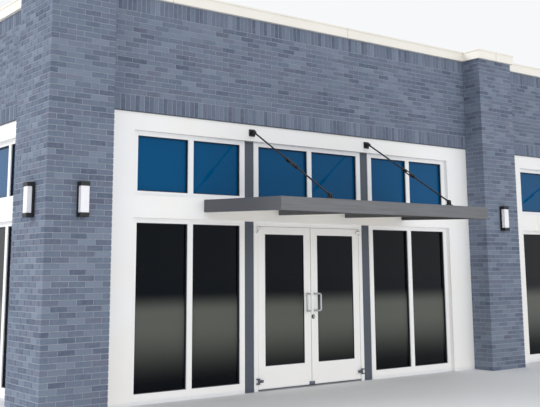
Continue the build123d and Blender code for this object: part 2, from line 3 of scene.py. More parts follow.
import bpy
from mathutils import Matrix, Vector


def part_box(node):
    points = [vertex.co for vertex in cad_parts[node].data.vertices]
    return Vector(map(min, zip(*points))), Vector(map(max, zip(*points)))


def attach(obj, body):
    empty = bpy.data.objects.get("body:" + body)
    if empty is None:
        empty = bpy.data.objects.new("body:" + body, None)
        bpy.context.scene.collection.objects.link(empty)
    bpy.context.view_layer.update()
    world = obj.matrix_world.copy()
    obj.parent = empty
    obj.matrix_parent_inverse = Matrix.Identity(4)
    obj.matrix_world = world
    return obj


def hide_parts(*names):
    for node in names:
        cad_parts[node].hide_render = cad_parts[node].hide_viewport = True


bl_info = {
    "name": "Brick clinic",
    "version": (1, 0, 0),
    "blender": (4, 5, 0),
    "location": "3D View > Sidebar > Clinic",
    "description": "Lays the bricks and finishes the glazing, doors, canopies and lights of a brick clinic",
    "category": "Object",
}

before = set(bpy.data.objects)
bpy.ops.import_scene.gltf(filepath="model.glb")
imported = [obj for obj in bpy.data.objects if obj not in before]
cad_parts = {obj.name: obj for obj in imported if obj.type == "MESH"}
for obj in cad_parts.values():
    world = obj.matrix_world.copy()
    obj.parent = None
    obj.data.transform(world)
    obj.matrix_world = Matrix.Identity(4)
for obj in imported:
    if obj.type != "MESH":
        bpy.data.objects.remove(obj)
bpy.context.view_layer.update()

import random
from collections import namedtuple
from math import ceil, pi, radians

import bmesh
import bpy
from mathutils import Matrix, Vector

# Points nearer to each other than this are one point
SAME_POINT = 0.00002
# Edges that turn by less are shaded smooth, and edges that turn by more get an arris
SMOOTH_TURN = radians(35)
ARRIS_TURN = radians(40)
# Places of the materials in a brick piece, after the brick's own
MORTAR, PLASTER, ROOFING = 1, 2, 3
# Sides of bolt heads and nuts, of their round washers, and of the roses under the door pulls
HEXAGON, WASHER_SIDES, ROSE_SIDES = 6, 14, 28
# A face looks along an axis when its normal has more than this share along it
FACING = 0.9

Finish = namedtuple("Finish", "material tree place shader")


def linear(code):
    """Turns an sRGB hex colour into the linear RGBA that shaders take."""
    values = [int(code[start:start + 2], 16) / 255 for start in (1, 3, 5)]
    return tuple(v / 12.92 if v <= 0.04045 else ((v + 0.055) / 1.055) ** 2.4 for v in values) + (1.0,)


# Kinds of settings


def length(name, description, default):
    return bpy.props.FloatProperty(
        name=name, description=description, default=default, min=0.0, precision=4, subtype="DISTANCE",
        unit="LENGTH",
    )


def colour(name, description, code):
    return bpy.props.FloatVectorProperty(
        name=name, description=description, default=linear(code), size=4, min=0.0, max=1.0, subtype="COLOR"
    )


def amount(name, description, default):
    return bpy.props.FloatProperty(name=name, description=description, default=default, min=0.0)


def count(name, description, default):
    return bpy.props.IntProperty(name=name, description=description, default=default, min=1)


def angle(name, description, degrees):
    return bpy.props.FloatProperty(
        name=name, description=description, default=radians(degrees), subtype="ANGLE", unit="ROTATION"
    )


def direction(name, description, default):
    return bpy.props.FloatVectorProperty(
        name=name, description=description, default=default, size=3, subtype="DIRECTION"
    )


# Sizes and colours that a user would change


class BrickworkSettings(bpy.types.PropertyGroup):
    courses: count("Courses", "Brick courses from the ground to the coping", 75)
    stretcher: length("Stretcher", "Nominal length of a brick with one joint", 0.2075)
    header: length("Bed depth", "Depth of a brick from face to back", 0.095)
    joint: length("Joint", "Width of the mortar joints", 0.009)
    joint_depth: length("Joint depth", "How far the mortar lies behind the brick faces", 0.005)
    arris: length("Arris", "Wear on the edges of each brick face", 0.002)
    unevenness: length("Unevenness", "Largest difference between neighbours", 0.0012)
    soldier_courses: count("Soldier height", "Courses that one soldier brick spans", 3)
    seed: count("Seed", "Picks which bricks are dark or pale", 11)
    flashing: length("Flashing", "Size of the kiln's clouds on the faces", 0.058824)
    drag_length: length("Drag length", "Length of the grains drawn along the faces", 0.0083333)
    drag_height: length("Drag height", "Height of those grains", 0.0030303)
    dark: colour("Dark brick", "Navy bricks from the hot side of the kiln", "#4b566b")
    middle: colour("Brick", "Blue-grey of most bricks", "#677387")
    pale: colour("Pale brick", "Palest bricks", "#7d899b")
    plum: colour("Plum brick", "Warm purple cast on some bricks", "#656476")
    mortar: colour("Mortar", "Pale sanded mortar", "#939ba9")


class ShellSettings(bpy.types.PropertyGroup):
    arris: length("Rendered arris", "Rounding on the surrounds and copings", 0.004)
    surround: colour("Surround", "White paint on the surrounds", "#f4f5f7")
    coping: colour("Coping", "Warm white coat on the sheet copings", "#f1eee5")
    coping_length: length("Coping length", "Length of one sheet of the coping", 3.05)
    coping_joint: length("Coping joint", "Half width of the gap between two sheets", 0.003)
    lintel: colour("Lintel", "Dark paint on the steel lintels", "#3b424f")
    membrane: colour("Membrane", "Pale roofing membrane", "#d9dad8")
    membrane_width: length("Membrane width", "Width of one sheet of the membrane", 3.05)
    membrane_seam: length("Membrane seam", "Half width of a welded seam", 0.02)
    seam_dirt: amount("Seam dirt", "Share of grey dirt along the seams", 0.4)
    plaster: colour("Plaster", "Painted plaster inside the walls", "#d7d5cf")
    concrete: colour("Floor", "Trowelled concrete floor", "#9b9a96")


class GlazingSettings(bpy.types.PropertyGroup):
    frame_arris: length("Frame arris", "Rounding on the extruded frames", 0.0015)
    bead_width: length("Bead width", "Width of the bead round each pane", 0.009)
    bead_reach: length("Bead reach", "How far the bead stands out from the pane", 0.03)
    transom_level: length("Transom level", "Parts the transom lights from the windows", 2.35)
    frame_white: colour("Frame", "White powder coat on the frames", "#f3f4f6")
    post: colour("Post", "Slate grey paint on the posts", "#4a525f")
    # Partly painted shade: the beads are dark rubber, and as they line the frames' reveals their dark also
    # stands for the shade in there
    bead: colour("Bead", "Dark glazing bead and rubber", "#1b2230")
    # Painted reflection: this deep blue stands for the sky mirrored in the high panes
    transom: colour("Transom glass", "Deep blue of the coated transom panes", "#004e7c")
    window: colour("Window glass", "Near black of panes over a dark room", "#06080a")
    reflection: colour("Reflection", "What the coating lets the panes reflect", "#707884")
    roller_wave: length("Roller wave", "Distance between the toughening's waves", 0.30303)
    # Painted reflection: a band of pale ground mirrored in the lower panes, painted into their colour by
    # height between the four levels below
    painted_ground_reflection: colour("Floor behind glass", "Lit floor, faint through the panes", "#5a5d57")
    reflection_starts: length("Floor starts", "Where the lit floor starts to show", 0.2)
    reflection_full: length("Floor full", "Where it shows in full", 0.91)
    reflection_fades: length("Floor fades", "Where it starts to fade", 1.04)
    reflection_ends: length("Floor ends", "Where it stops showing", 1.3)


class SteelSettings(bpy.types.PropertyGroup):
    arris: length("Steel arris", "Rounding on the canopy steel", 0.002)
    channel: colour("Canopy steel", "Dark grey paint on the canopy beams", "#575b63")
    # Painted light: the fascias get a lighter copy of the beams' grey, standing for the light on their front
    # faces against the shaded beams
    fascia_painted_lighter: colour("Fascia", "Grey paint on the front channels, bleached", "#6f7277")
    streak: colour("Streaks", "Brown-grey streaks of rain on the steel", "#5c5753")
    streak_length: length("Streak length", "Length of those streaks", 0.5)
    streak_height: length("Streak height", "Height of those streaks", 0.018)
    deck: colour("Deck", "Paint on the upper side of the deck", "#4b4b54")
    # Partly painted light: white paint on the underside, warmed to cream for the light thrown back from the
    # ground
    soffit_with_painted_bounce: colour("Soffit", "Cream paint on its underside", "#e9e3d3")
    rod: colour("Rod", "Black paint on the tie rods and brackets", "#1b1d22")
    bolt_radius: length("Bolt", "Radius of the bolt heads at their corners", 0.0105)
    bolt_height: length("Bolt height", "Height of the bolt heads", 0.008)
    wall_plate: length("Wall plate", "Thickness of the rods' wall plates", 0.014)
    foot_plate: length("Foot plate", "Thickness of the rods' foot plates", 0.01)
    plate_bolt_inset: length("Bolt inset", "Bolts' distance from the plates' edges", 0.014)
    nut_radius: length("Jam nut", "Radius of the jam nuts at their corners", 0.02)
    nut_height: length("Nut height", "Height of the jam nuts", 0.012)
    rod_eye: length("Rod eye", "Radius of the eyes at the rods' ends", 0.022)
    turnbuckle: length("Turnbuckle", "Length of the turnbuckles", 0.24)
    turnbuckle_share: amount("Turnbuckle place", "Its middle as a share of the rod", 0.52)


class HardwareSettings(bpy.types.PropertyGroup):
    pull: colour("Pull", "Satin stainless steel", "#c9ccd0")
    pull_bar: length("Pull bar", "Radius of the bars of the door pulls", 0.0127)
    pull_bend: length("Pull bend", "Radius of the bends in the pulls", 0.025)
    pull_rose: length("Pull rose", "Radius of the roses under the pulls", 0.018)
    pull_rose_height: length("Rose height", "Height of those roses", 0.006)
    lock: colour("Lock", "Dark bronze lock rose", "#1d1e22")
    cylinder: colour("Lock cylinder", "Satin nickel lock cylinder", "#b3b7bd")
    cylinder_reach: length("Cylinder reach", "How far it stands out from its rose", 0.012)
    keyway_width: length("Keyway", "Width of the keyway", 0.003)
    keyway_height: length("Keyway height", "Height of the keyway", 0.012)
    keyway_depth: length("Keyway depth", "How far it reaches into the cylinder", 0.001)
    keyway_lip: length("Keyway lip", "How far it stands out from the cylinder", 0.0005)
    bolt_width: length("Foot bolt", "Width and height of the leaves' foot bolts", 0.042)
    bolt_reach: length("Foot bolt depth", "How far they stand out from the leaves", 0.01)
    bolt_paint: colour("Foot bolt paint", "Grey paint on the foot bolts", "#5d6673")
    pivot_level: length("Pivot level", "Parts the lower pivots from the upper", 1.3)
    threshold: colour("Threshold", "Mill-finished aluminium", "#a5a8ac")
    sconce: colour("Wall light", "Black powder coat on the wall lights", "#15161a")
    sconce_arris: length("Wall light arris", "Rounding on the wall lights", 0.004)
    lens: colour("Lens", "Opal acrylic lens", "#f1f1f6")
    lens_cloud: colour("Lens clouds", "Slightly denser clouds in the lens", "#dcdce8")


class StageSettings(bpy.types.PropertyGroup):
    camera_place: bpy.props.FloatVectorProperty(
        name="Camera", description="Where the camera stands", default=(-11.972, -16.828, 1.579), size=3,
        subtype="XYZ", unit="LENGTH",
    )
    camera_heading: angle("Heading", "Camera's turn from +Y towards +X", 37.74)
    camera_pitch: angle("Pitch", "Camera's tilt upwards", 9.85)
    camera_roll: angle("Roll", "Camera's roll about its axis", -0.36)
    camera_reach: length("Camera reach", "Distance past which nothing is seen", 500.0)
    focal_length: bpy.props.FloatProperty(
        name="Focal length", description="Lens of the camera", default=59.82, subtype="DISTANCE_CAMERA"
    )
    sensor: bpy.props.FloatProperty(
        name="Sensor", description="Width of the camera's sensor", default=36.0, subtype="DISTANCE_CAMERA"
    )
    shift: bpy.props.FloatProperty(
        name="Shift", description="Vertical lens shift, as a share of the frame's width", default=-0.1667
    )
    floor_size: length("Floor", "Length of the studio floor", 240.0)
    floor: colour("Floor colour", "Pale studio floor", "#e2e4e7")
    background: colour("Background", "Pale background", "#f7f8fa")
    daylight: amount("Daylight", "Strength of the even light from all round", 0.9)
    key: amount("Key", "Strength of the broad lamp at the left and rear", 1.4)
    key_direction: direction("Key direction", "From the building to it", (-0.78, 0.4, 0.48))
    key_spread: angle("Key spread", "How wide it looks from the building", 25)
    fill: amount("Fill", "Strength of the broad low lamp at the front", 0.45)
    fill_direction: direction("Fill direction", "From the building to it", (0.0, -0.97, 0.2))
    fill_spread: angle("Fill spread", "How wide it looks from the building", 40)
    bounce: amount("Bounce", "Brightness of the light back from the ground", 0.3)
    bounce_colour: colour("Bounce colour", "Warm light from sunlit ground", "#fff0d6")
    bounce_size: length("Bounce size", "Length of the ground that gives it", 40.0)
    bounce_level: length("Bounce level", "Its height over the studio floor", 0.001)


SETTINGS = {
    "clinic_bricks": BrickworkSettings,
    "clinic_shell": ShellSettings,
    "clinic_glazing": GlazingSettings,
    "clinic_steel": SteelSettings,
    "clinic_hardware": HardwareSettings,
    "clinic_stage": StageSettings,
}


# Shared by the operators


def add(tree, kind, inputs=None, **settings):
    """Adds a node with its settings, and sets its inputs or links them to sockets or other nodes."""
    node = tree.nodes.new(kind)
    for name, value in settings.items():
        setattr(node, name, value)
    for socket, value in (inputs or {}).items():
        if isinstance(value, bpy.types.Node):
            value = next(output for output in value.outputs if output.enabled)
        if isinstance(value, bpy.types.NodeSocket):
            tree.links.new(value, node.inputs[socket])
        else:
            node.inputs[socket].default_value = value
    return node


def start_material(name):
    """Starts a material, and gives its node tree and the place that its patterns follow."""
    material = bpy.data.materials.new(name)
    material.use_nodes = True
    tree = material.node_tree
    tree.nodes.clear()
    return material, tree, add(tree, "ShaderNodeTexCoord").outputs["Object"]


def finish_material(material, tree, place, inputs):
    """Gives a material its surface, and returns it with what later coats need."""
    shader = add(tree, "ShaderNodeBsdfPrincipled", inputs)
    add(tree, "ShaderNodeOutputMaterial", {"Surface": shader})
    return Finish(material, tree, place, shader)


def paint_over(finish, share, paint):
    """Lays a colour over a finish, where and as far as the share says."""
    base = finish.shader.inputs["Base Color"]
    under = base.links[0].from_socket
    both = add(finish.tree, "ShaderNodeMix", {0: share, 6: under, 7: paint}, data_type="RGBA")
    finish.tree.links.new(both.outputs[2], base)


def mark_lines(tree, coordinate, spacing, half_width):
    """Marks narrow lines that cross a coordinate at an even spacing."""
    nearest = add(tree, "ShaderNodeMath", {0: coordinate, 1: spacing / 2}, operation="PINGPONG")
    return add(tree, "ShaderNodeMath", {0: nearest, 1: half_width}, operation="LESS_THAN")


def darken(base, factor):
    return tuple(factor * value for value in base[:3]) + (1.0,)


def dress(material, *names):
    """Gives a finish to nodes that keep their own shape."""
    for name in names:
        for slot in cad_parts[name].material_slots:
            slot.material = material


def soften(width, *names):
    """Rounds the arrises of nodes, once their loose triangles are joined."""
    for name in names:
        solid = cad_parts[name]
        solid.modifiers.new("Join", "WELD").merge_threshold = SAME_POINT
        bevel = solid.modifiers.new("Arris", "BEVEL")
        bevel.width = width
        bevel.segments = 2
        bevel.limit_method = "ANGLE"
        bevel.angle_limit = ARRIS_TURN


def round_edges(mesh, edges, offset, segments=1):
    """Bevels edges, no further than their neighbours leave room for."""
    bmesh.ops.bevel(
        mesh, geom=edges, offset=offset, segments=segments, profile=0.5, affect="EDGES", material=-1,
        clamp_overlap=True,
    )


def add_object(name, data):
    """Puts an object into the scene, at the origin."""
    added = bpy.data.objects.new(name, data)
    bpy.context.scene.collection.objects.link(added)
    return added


def make_piece(name, mesh, materials, body, replaced=(), smooth=False):
    """Turns a bmesh into a piece that rides on a body, smooth over its shallow edges where asked."""
    bmesh.ops.recalc_face_normals(mesh, faces=mesh.faces)
    if smooth:
        for face in mesh.faces:
            face.smooth = True
        for edge in mesh.edges:
            edge.smooth = edge.calc_face_angle(0) < SMOOTH_TURN
    data = bpy.data.meshes.new(name)
    mesh.to_mesh(data)
    mesh.free()
    for material in materials:
        data.materials.append(material)
    piece = add_object(name, data)
    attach(piece, body)
    if replaced:
        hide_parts(*replaced)


def solid_boxes(name):
    """Lists the lowest and highest corner of each solid of a node, always in the same order."""
    mesh = bmesh.new()
    mesh.from_mesh(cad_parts[name].data)
    bmesh.ops.remove_doubles(mesh, verts=mesh.verts, dist=SAME_POINT)
    boxes = []
    waiting = set(mesh.verts)
    while waiting:
        solid = [waiting.pop()]
        for vert in solid:
            for edge in vert.link_edges:
                other = edge.other_vert(vert)
                if other in waiting:
                    waiting.remove(other)
                    solid.append(other)
        corners = [[vert.co[axis] for vert in solid] for axis in range(3)]
        boxes.append((Vector([min(c) for c in corners]), Vector([max(c) for c in corners])))
    mesh.free()
    return sorted(boxes, key=lambda box: tuple(box[0]))


def faces_at(verts):
    """Lists the faces at some vertices, each once and always in the same order."""
    return list(dict.fromkeys(face for vert in verts for face in vert.link_faces))


def edges_at(verts):
    """Lists the edges at some vertices, each once and always in the same order."""
    return list(dict.fromkeys(edge for vert in verts for edge in vert.link_edges))


def add_block(mesh, low, high):
    """Adds a box between two corners and returns its faces."""
    place = Matrix.Translation((low + high) / 2) @ Matrix.Diagonal((*(high - low), 1))
    return faces_at(bmesh.ops.create_cube(mesh, size=1, matrix=place)["verts"])


def add_bar(mesh, sides, radius, depth, middle):
    """Adds a straight bar of some sides along its middle's z, and returns its edges."""
    made = bmesh.ops.create_cone(
        mesh, cap_ends=True, segments=sides, radius1=radius, radius2=radius, depth=depth, matrix=middle
    )
    return edges_at(made["verts"])


def wall_axes(low, high):
    """Gives the axis that a wall piece runs along, the one across it, and which way is outwards."""
    along = 0 if high.x - low.x > high.y - low.y else 1
    across = 1 - along
    return along, across, (-1 if low[across] + high[across] < 0 else 1)


def wall_point(along, distance, depth, height):
    """Gives the point at a distance along a wall's axis, at a place across it and a height."""
    point = Vector((depth, depth, height))
    point[along] = distance
    return point


# Finishes


def velour_clay_brick(bricks):
    """Extruded clay brick, wire-cut with a velour face: matt, each brick its own tone, finely dragged."""
    material, tree, place = start_material("velour_clay_brick")
    tone = add(tree, "ShaderNodeAttribute", attribute_name="tone").outputs["Fac"]
    hue = add(tree, "ShaderNodeTexWhiteNoise", {"W": tone}, noise_dimensions="1D")
    # flashing from the kiln
    clouds = add(tree, "ShaderNodeTexNoise", {"Vector": place, "Scale": 1 / bricks.flashing, "Detail": 3.0})
    # the dragged face: fine grains, drawn out along the brick
    long, fine = 1 / bricks.drag_length, 1 / bricks.drag_height
    drag = add(tree, "ShaderNodeMapping", {"Vector": place, "Scale": (long, long, fine)})
    grain = add(tree, "ShaderNodeTexNoise", {"Vector": drag, "Scale": 1.0, "Detail": 2.0})
    layers = (
        (tone, -0.05, 0.3, 1.0, bricks.middle),
        (tone, 0.55, 1.0, 1.0, bricks.pale),
        (hue, 0.7, 1.0, 0.55, bricks.plum),
        (clouds, 0.35, 0.7, 0.35, bricks.pale),
        (grain, 0.3, 0.75, 0.3, bricks.dark),
    )
    body = bricks.dark
    for pattern, none, full, most, paint in layers:
        share = add(
            tree, "ShaderNodeMapRange", {"Value": pattern, "From Min": none, "From Max": full, "To Max": most}
        )
        body = add(tree, "ShaderNodeMix", {0: share, 6: body, 7: paint}, data_type="RGBA")
    relief = add(tree, "ShaderNodeBump", {"Height": grain, "Strength": 0.5, "Distance": 0.0015})
    surface = {"Base Color": body, "Roughness": 0.82, "Specular IOR Level": 0.35, "Normal": relief}
    return finish_material(material, tree, place, surface).material


def grained_finish(name, base, worn, *, grain, depth, roughness, patch=0.4, share=0.25):
    """A surface of one colour with clouds of a second one and a fine grain, sizes in metres."""
    material, tree, place = start_material(name)
    patches = add(tree, "ShaderNodeTexNoise", {"Vector": place, "Scale": 1 / patch, "Detail": 4.0})
    clouds = add(
        tree, "ShaderNodeMapRange", {"Value": patches, "From Min": 0.35, "From Max": 0.75, "To Max": share}
    )
    body = add(tree, "ShaderNodeMix", {0: clouds, 6: base, 7: worn}, data_type="RGBA")
    fine = add(tree, "ShaderNodeTexNoise", {"Vector": place, "Scale": 1 / grain, "Detail": 2.0})
    gloss = add(
        tree, "ShaderNodeMapRange", {"Value": fine, "To Min": roughness - 0.06, "To Max": roughness + 0.06}
    )
    relief = add(tree, "ShaderNodeBump", {"Height": fine, "Strength": 0.4, "Distance": depth})
    surface = {"Base Color": body, "Roughness": gloss, "Normal": relief}
    return finish_material(material, tree, place, surface)


def sanded_mortar(bricks):
    """Sanded cement mortar, struck slightly concave: matt and granular."""
    return grained_finish(
        "sanded_mortar", bricks.mortar, bricks.middle, grain=0.004, depth=0.002, roughness=0.9
    ).material


def painted_plaster(shell):
    """Gypsum plaster under emulsion paint: matt and nearly even."""
    return grained_finish(
        "painted_plaster", shell.plaster, shell.concrete, grain=0.01, depth=0.0005, roughness=0.75,
        patch=1.5, share=0.12,
    ).material


def roofing_membrane(shell):
    """Thermoplastic roofing sheet: pale, dusty, faintly embossed, with a darker welded seam at each lap."""
    sheet = grained_finish(
        "welded_roofing_membrane", shell.membrane, shell.concrete, grain=0.02, depth=0.001, roughness=0.6,
        patch=1.2, share=0.2,
    )
    across = add(sheet.tree, "ShaderNodeSeparateXYZ", {0: sheet.place}).outputs["X"]
    seam = mark_lines(sheet.tree, across, shell.membrane_width, shell.membrane_seam)
    dirt = add(sheet.tree, "ShaderNodeMath", {0: seam, 1: shell.seam_dirt}, operation="MULTIPLY")
    paint_over(sheet, dirt, shell.concrete)
    return sheet.material


def trowelled_concrete(shell):
    """Power-trowelled concrete: mottled grey with a low sheen."""
    return grained_finish(
        "trowelled_concrete", shell.concrete, shell.plaster, grain=0.015, depth=0.0005, roughness=0.5,
        patch=0.7, share=0.4,
    ).material


def painted_render(shell):
    """Fine acrylic render, rolled with white paint: matt, with a sand grain and faint clouds of dust."""
    return grained_finish(
        "painted_acrylic_render", shell.surround, shell.coping, grain=0.003, depth=0.0008, roughness=0.65,
        patch=0.9, share=0.5,
    ).material


def coil_coated_sheet(shell):
    """Folded aluminium sheet with a baked polyester coat: warm white, satin, in lengths with dark gaps."""
    sheet = grained_finish(
        "coil_coated_aluminium_sheet", shell.coping, shell.plaster, grain=0.003, depth=0.0002, roughness=0.45,
        patch=0.8,
    )
    tree = sheet.tree
    axes = add(tree, "ShaderNodeSeparateXYZ", {0: sheet.place}).outputs
    # sheets of the front and rear meet across X, those of the sides across Y
    front, side = (mark_lines(tree, axes[axis], shell.coping_length, shell.coping_joint) for axis in "XY")
    normal = add(tree, "ShaderNodeNewGeometry").outputs["True Normal"]
    facing = add(tree, "ShaderNodeSeparateXYZ", {0: normal})
    sideways = add(tree, "ShaderNodeMath", {0: facing}, operation="ABSOLUTE")
    on_side = add(tree, "ShaderNodeMath", {0: sideways, 1: 0.5}, operation="GREATER_THAN")
    gap = add(tree, "ShaderNodeMix", {0: on_side, 2: front, 3: side}, data_type="FLOAT")
    paint_over(sheet, gap, shell.concrete)
    return sheet.material


def powder_coat(name, base, *, roughness=0.38):
    """Polyester powder coat on metal: smooth, low gloss, with a faint orange peel of 2 mm."""
    return grained_finish(
        name, base, darken(base, 0.9), grain=0.002, depth=0.0001, roughness=roughness, patch=0.8, share=0.3
    )


def brushed_metal(name, base, *, roughness, lines):
    """Bare metal with fine lines drawn along one way, their sizes in metres."""
    material, tree, place = start_material(name)
    drawn = add(tree, "ShaderNodeMapping", {"Vector": place, "Scale": [1 / size for size in lines]})
    fine = add(tree, "ShaderNodeTexNoise", {"Vector": drawn, "Scale": 1.0, "Detail": 2.0})
    gloss = add(
        tree, "ShaderNodeMapRange", {"Value": fine, "To Min": roughness - 0.08, "To Max": roughness + 0.1}
    )
    body = add(tree, "ShaderNodeMix", {0: fine, 6: base, 7: darken(base, 0.8)}, data_type="RGBA")
    relief = add(tree, "ShaderNodeBump", {"Height": fine, "Strength": 0.2, "Distance": 0.0002})
    surface = {"Base Color": body, "Metallic": 1.0, "Roughness": gloss, "Normal": relief}
    return finish_material(material, tree, place, surface).material


def coated_glass(glazing):
    """Solar-control float glass: mirror smooth and dark over a dark room, with painted reflections: sky blue
    in the high lights, a band of pale ground across the low ones.
    """
    material, tree, place = start_material("solar_control_glass")
    height = add(tree, "ShaderNodeSeparateXYZ", {0: place}).outputs["Z"]
    rising, falling = (
        add(
            tree, "ShaderNodeMapRange", {"Value": height, "From Min": none, "From Max": full},
            interpolation_type="SMOOTHSTEP",
        )
        for none, full in (
            (glazing.reflection_starts, glazing.reflection_full), (glazing.reflection_ends, glazing.reflection_fades)
        )
    )
    # painted reflection of the pale ground, in a band across the lower panes
    lit = add(tree, "ShaderNodeMath", {0: rising, 1: falling}, operation="MULTIPLY")
    low = add(tree, "ShaderNodeMix", {0: lit, 6: glazing.window, 7: glazing.painted_ground_reflection}, data_type="RGBA")
    # painted reflection: above the transom level the panes take the deep blue of the sky they mirror
    high = add(tree, "ShaderNodeMath", {0: height, 1: glazing.transom_level}, operation="GREATER_THAN")
    body = add(tree, "ShaderNodeMix", {0: high, 6: low, 7: glazing.transom}, data_type="RGBA")
    size = 1 / glazing.roller_wave
    wave = add(tree, "ShaderNodeTexNoise", {"Vector": place, "Scale": size, "Detail": 1.0})
    relief = add(tree, "ShaderNodeBump", {"Height": wave, "Strength": 0.3, "Distance": 0.004})
    surface = {
        "Base Color": body, "Roughness": 0.03, "IOR": 1.5, "Specular Tint": glazing.reflection,
        "Normal": relief,
    }
    return finish_material(material, tree, place, surface).material


def weathered_paint(name, base, steel):
    """Alkyd paint on rolled steel, some years old: dull, with level streaks of dirt along the sections."""
    coat = grained_finish(name, base, steel.channel, grain=0.002, depth=0.0001, roughness=0.55, patch=0.5)
    long, fine = 1 / steel.streak_length, 1 / steel.streak_height
    drawn = add(coat.tree, "ShaderNodeMapping", {"Vector": coat.place, "Scale": (long, long, fine)})
    streaks = add(coat.tree, "ShaderNodeTexNoise", {"Vector": drawn, "Scale": 1.0, "Detail": 3.0})
    share = add(
        coat.tree, "ShaderNodeMapRange", {"Value": streaks, "From Min": 0.4, "From Max": 0.75, "To Max": 0.6}
    )
    paint_over(coat, share, steel.streak)
    return coat.material


def plated_lock(hardware, cylinder_back):
    """Dark bronze plating on the rose, and a satin nickel cylinder that stands before it."""
    plating = grained_finish(
        "plated_lock", hardware.lock, hardware.bolt_paint, grain=0.001, depth=0.0001, roughness=0.35,
        patch=0.02, share=0.3,
    )
    depth = add(plating.tree, "ShaderNodeSeparateXYZ", {0: plating.place}).outputs["Y"]
    proud = add(plating.tree, "ShaderNodeMath", {0: depth, 1: cylinder_back}, operation="LESS_THAN")
    paint_over(plating, proud, hardware.cylinder)
    plating.tree.links.new(proud.outputs[0], plating.shader.inputs["Metallic"])
    return plating.material


def door_coat(glazing, pivot_level, frame_face):
    """White powder coat on the leaves, and the posts' grey on the lower pivots that stand before them."""
    coat = powder_coat("white_powder_coated_doors", glazing.frame_white)
    axes = add(coat.tree, "ShaderNodeSeparateXYZ", {0: coat.place}).outputs
    proud = add(coat.tree, "ShaderNodeMath", {0: axes["Y"], 1: frame_face}, operation="LESS_THAN")
    low = add(coat.tree, "ShaderNodeMath", {0: axes["Z"], 1: pivot_level}, operation="LESS_THAN")
    pivot = add(coat.tree, "ShaderNodeMath", {0: proud, 1: low}, operation="MULTIPLY")
    paint_over(coat, pivot, glazing.post)
    return coat.material


def steel_deck(steel):
    """Roll-formed steel deck, painted: dark above; white below, tinted cream by painted warm bounce light
    from the ground.
    """
    deck = grained_finish(
        "painted_steel_deck", steel.deck, steel.channel, grain=0.003, depth=0.0002, roughness=0.5
    )
    normal = add(deck.tree, "ShaderNodeNewGeometry").outputs["True Normal"]
    facing = add(deck.tree, "ShaderNodeSeparateXYZ", {0: normal}).outputs["Z"]
    # white underside paint, made cream by painted warm bounce light
    below = add(deck.tree, "ShaderNodeMath", {0: facing, 1: -0.1}, operation="LESS_THAN")
    paint_over(deck, below, steel.soffit_with_painted_bounce)
    return deck.material


def opal_acrylic(hardware):
    """Moulded opal acrylic: milky, soft gloss, light carried a little way under the surface."""
    opal = grained_finish(
        "opal_acrylic", hardware.lens, hardware.lens_cloud, grain=0.01, depth=0.0001, roughness=0.3,
        patch=0.15, share=0.4,
    )
    opal.shader.inputs["Subsurface Weight"].default_value = 0.3
    opal.shader.inputs["Subsurface Radius"].default_value = (0.02, 0.02, 0.02)
    return opal.material


# Brickwork


def course_spans(low, high, number, joint, full):
    """Splits a run into stretchers from end to end, or into those that lie between two half bricks."""
    unit = (high - low + joint) / number
    if full:
        return [(low + place * unit, low + (place + 1) * unit - joint) for place in range(number)]
    return [(low + (place + 0.5) * unit, low + (place + 1.5) * unit - joint) for place in range(number - 1)]


